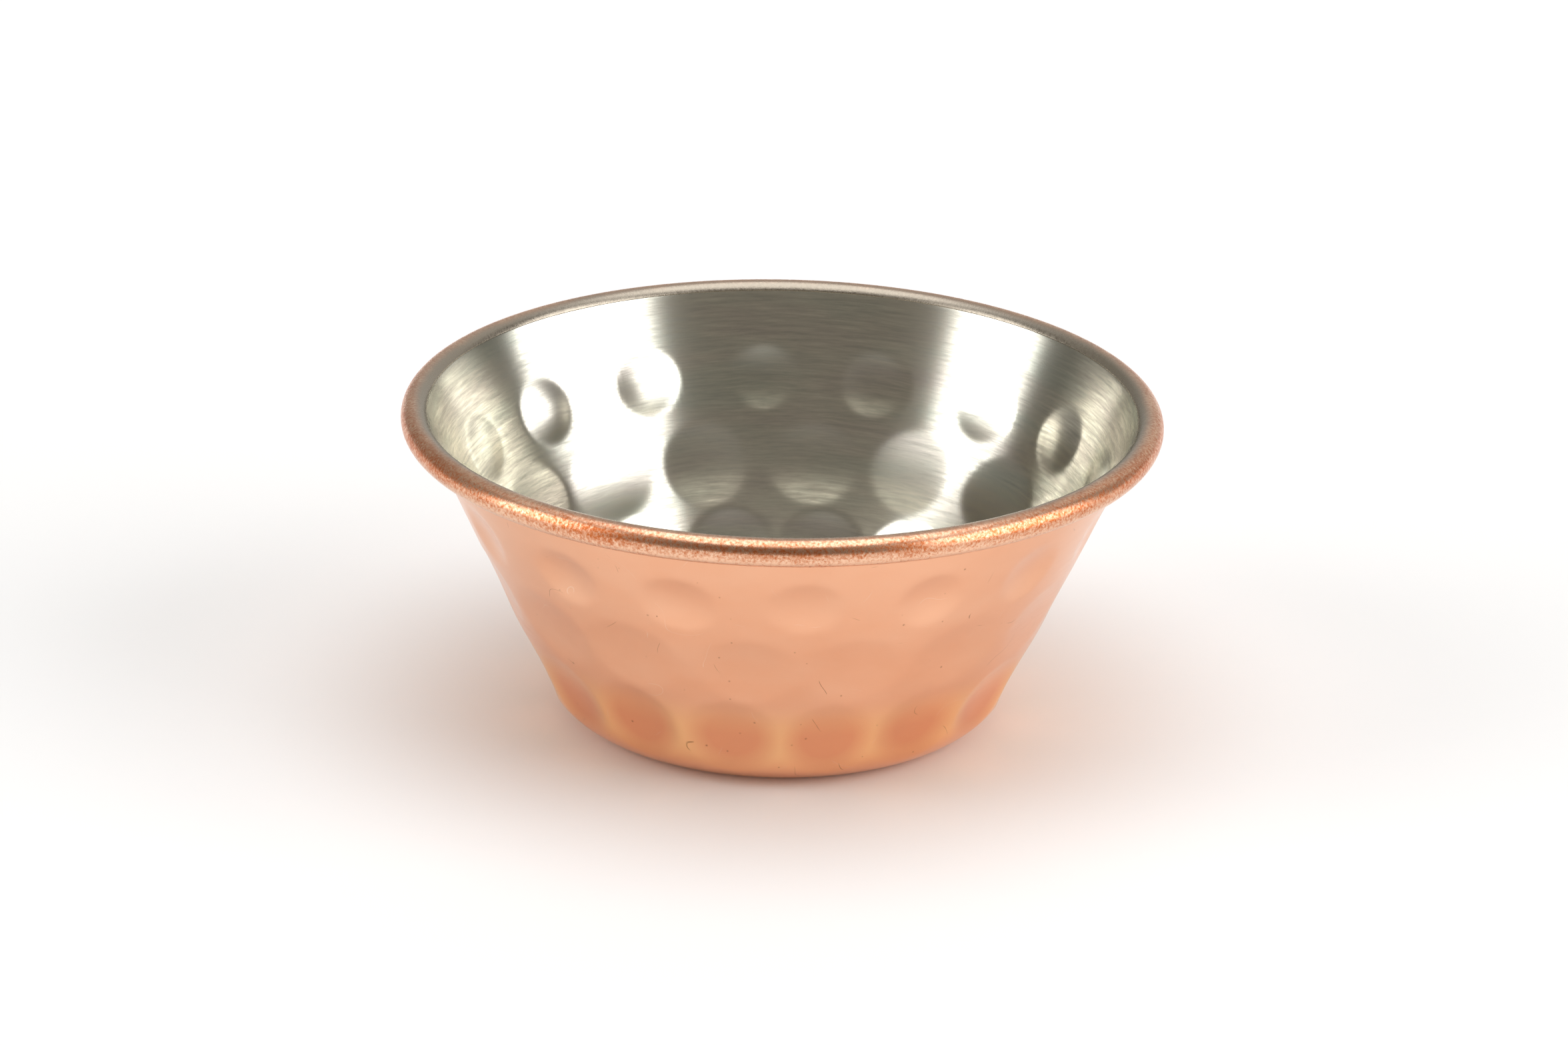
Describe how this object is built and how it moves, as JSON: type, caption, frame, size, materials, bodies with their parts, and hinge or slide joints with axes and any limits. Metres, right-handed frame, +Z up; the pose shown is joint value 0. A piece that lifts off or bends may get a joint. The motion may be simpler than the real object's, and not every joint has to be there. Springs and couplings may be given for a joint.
{
  "type": "hammered sauce cup",
  "caption": "Small round flared sauce cup of brushed stainless steel with a rolled rim, coated with copper outside and hammered in three rings of shallow marks.",
  "frame": {"origin": "centre of the foot, on the surface that the cup stands on", "axes": "+Z up along the cup's axis; -Y towards the front of the cup"},
  "size_m": [0.064, 0.064, 0.0273],
  "materials": {
    "stainless_steel": "brushed around the axis",
    "copper": "satin copper coat",
    "worn_copper": "copper coat browned and rubbed on the rim"
  },
  "bodies": {
    "root": {"steel_cup": "stainless_steel", "copper_wall_coat": "copper", "copper_foot_coat": "copper", "copper_rim_coat": "worn_copper"}
  },
  "joints": []
}
